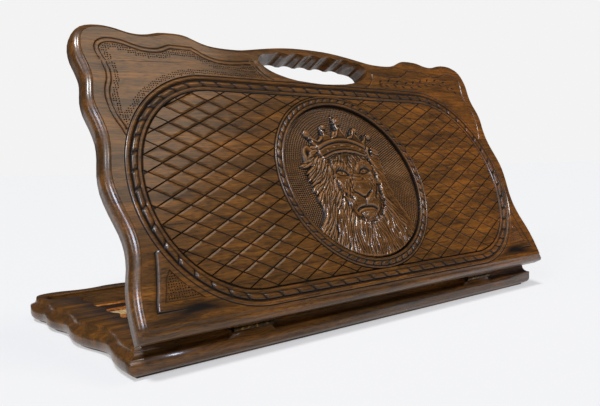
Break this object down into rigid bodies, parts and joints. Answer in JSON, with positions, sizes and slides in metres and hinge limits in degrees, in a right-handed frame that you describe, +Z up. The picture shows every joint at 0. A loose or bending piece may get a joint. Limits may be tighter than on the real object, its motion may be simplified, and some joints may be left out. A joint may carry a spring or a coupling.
{
  "type": "folding backgammon case",
  "caption": "Folding wooden game case: two carved trays hinged along one long side, with a carry handle, inlaid playing fields inside and checker troughs.",
  "frame": {"origin": "centre of the whole case's footprint, on the surface that it stands on, as it stands part-open", "axes": "+X along the hinges, to the right of someone facing the hinge side; +Y away from the hinge side towards the handle of the lower tray; +Z up"},
  "size_m": [0.6008, 0.3412, 0.3229],
  "materials": {
    "carved_wood": "dark-stained beech under satin lacquer, carved",
    "burl_veneer": "orange-brown burl veneer, semi-gloss",
    "dark_inlay": "ebonised veneer, semi-gloss",
    "light_inlay": "pale yellow maple veneer, semi-gloss",
    "hinge_brass": "dark patinated brass",
    "screw_brass": "patinated brass, slotted heads",
    "magnet_nickel": "nickel-plated",
    "light_checker": "turned pale wood, satin",
    "dark_checker": "turned dark wood, satin",
    "die_resin": "ivory-coloured cast resin"
  },
  "bodies": {
    "lower_half": {"lower_tray": "carved_wood", "lower_panel": "burl_veneer", "lower_dark_points": "dark_inlay", "lower_light_points": "light_inlay", "lower_hinge_leaf_left": "hinge_brass", "lower_hinge_leaf_right": "hinge_brass", "hinge_pin_left": "hinge_brass", "hinge_pin_right": "hinge_brass", "lower_hinge_screws_left": "screw_brass", "lower_hinge_screws_right": "screw_brass", "lower_magnets": "magnet_nickel", "light_checkers": "light_checker", "dark_checkers": "dark_checker", "dice": "die_resin"},
    "upper_half": {"upper_tray": "carved_wood", "upper_panel": "burl_veneer", "upper_dark_points": "dark_inlay", "upper_light_points": "light_inlay", "upper_hinge_leaf_left": "hinge_brass", "upper_hinge_leaf_right": "hinge_brass", "upper_hinge_screws_left": "screw_brass", "upper_hinge_screws_right": "screw_brass", "upper_magnets": "magnet_nickel"}
  },
  "joints": [
    {"name": "lid_hinge", "type": "hinge", "parent": "lower_half", "child": "upper_half", "pos_m": [0, -0.1499, 0.0272], "axis": [1, 0, 0], "range_deg": [-63.5, 116.5]}
  ]
}
